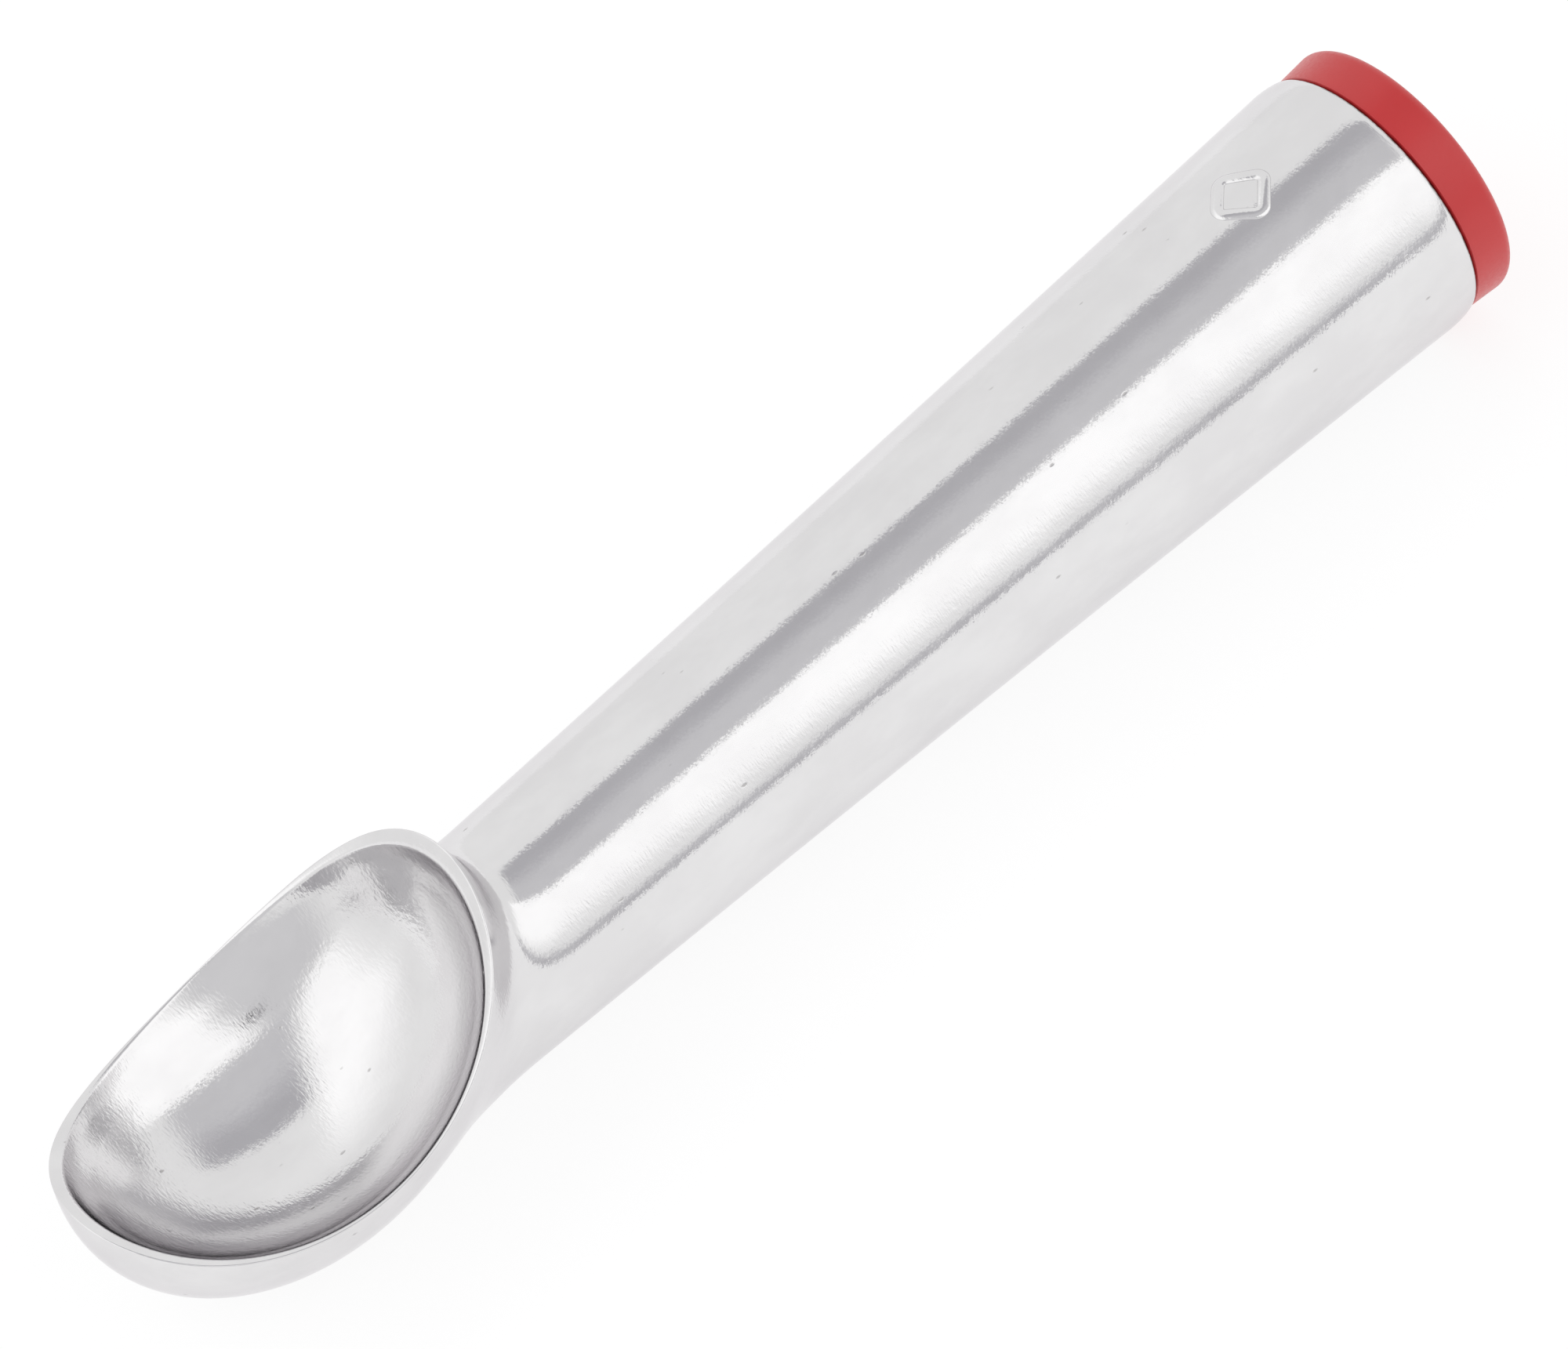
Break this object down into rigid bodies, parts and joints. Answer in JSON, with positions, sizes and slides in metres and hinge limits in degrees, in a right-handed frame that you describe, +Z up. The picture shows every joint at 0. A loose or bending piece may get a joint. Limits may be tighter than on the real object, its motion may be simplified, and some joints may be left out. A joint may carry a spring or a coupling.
{
  "type": "ice cream dipper",
  "caption": "Cast metal dipper: an oval bowl with a dipped rim on a hollow tapered handle that holds a heat-carrying liquid, with a coloured cap in the butt.",
  "frame": {"origin": "on the table under the middle of the dipper's length, where it lies on the bowl's back and the grip's shoulder", "axes": "+X along the dipper towards the capped butt, +Z up out of the bowl's opening, +Y across the bowl; the handle's own axis rises 1.5 degrees towards the butt"},
  "size_m": [0.185, 0.0368, 0.0322],
  "materials": {
    "cast_metal": "polished casting with fine buffing streaks and small pits",
    "liquid": "clear liquid",
    "plug_metal": "turned",
    "seal_rubber": "matt rubber",
    "cap_plastic": "satin moulded plastic"
  },
  "bodies": {
    "root": {"scoop_body": "cast_metal", "heat_fluid": "liquid", "sealing_plug": "plug_metal", "seal_ring": "seal_rubber", "end_cap": "cap_plastic"}
  },
  "joints": []
}
